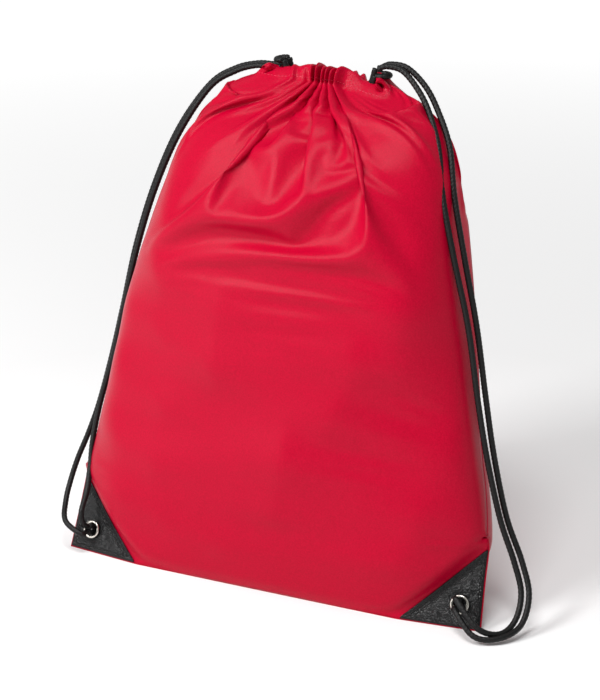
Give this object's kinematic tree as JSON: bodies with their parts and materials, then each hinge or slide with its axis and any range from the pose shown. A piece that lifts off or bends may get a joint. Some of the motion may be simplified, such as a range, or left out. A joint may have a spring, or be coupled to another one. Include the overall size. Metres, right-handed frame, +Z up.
{
  "type": "drawstring backpack",
  "caption": "Stuffed drawstring backpack standing upright: gathered mouth with cord tunnels, leather-look corners with eyelets, and drawcords that double as shoulder straps.",
  "frame": {"origin": "on the floor, under the middle of the bag without its cords", "axes": "+Z up, the front panel faces -Y, +X to the viewer's right"},
  "size_m": [0.3751, 0.1364, 0.3793],
  "materials": {
    "red_polyester": "satin woven",
    "black_faux_leather": "semi-gloss, lightly creased",
    "black_cord": "braided, matt",
    "nickel": "polished"
  },
  "bodies": {
    "bag": {"front_panel": "red_polyester", "back_panel": "red_polyester", "left_front_patch": "black_faux_leather", "left_back_patch": "black_faux_leather", "right_front_patch": "black_faux_leather", "right_back_patch": "black_faux_leather", "left_eyelet": "nickel", "left_eyelet_washer": "nickel", "right_eyelet": "nickel", "right_eyelet_washer": "nickel", "left_knot": "black_cord", "right_knot": "black_cord", "left_cord_turn": "black_cord", "right_cord_turn": "black_cord"},
    "front_rim": {"front_cord_tunnel": "red_polyester", "left_cord_front_run": "black_cord", "right_cord_front_run": "black_cord"},
    "back_rim": {"back_cord_tunnel": "red_polyester", "left_cord_back_run": "black_cord", "right_cord_back_run": "black_cord"},
    "left_strap": {"left_cord_front_strand": "black_cord", "left_cord_back_strand": "black_cord"},
    "right_strap": {"right_cord_front_strand": "black_cord", "right_cord_back_strand": "black_cord"}
  },
  "joints": [
    {"name": "front_rim_tilt", "type": "hinge", "parent": "bag", "child": "front_rim", "pos_m": [0.008, 0.0364, 0.362], "axis": [1, 0, 0], "range_deg": [0, 20]},
    {"name": "back_rim_tilt", "type": "hinge", "parent": "bag", "child": "back_rim", "pos_m": [0.008, 0.0534, 0.362], "axis": [-1, 0, 0], "range_deg": [0, 20]},
    {"name": "left_strap_swing", "type": "hinge", "parent": "bag", "child": "left_strap", "pos_m": [-0.0297, 0.0402, 0.368], "axis": [0.3163, 0.2461, 0.9162], "range_deg": [0, 45]},
    {"name": "right_strap_swing", "type": "hinge", "parent": "bag", "child": "right_strap", "pos_m": [0.0457, 0.0402, 0.3732], "axis": [0.2743, -0.2461, -0.9296], "range_deg": [0, 45]}
  ]
}
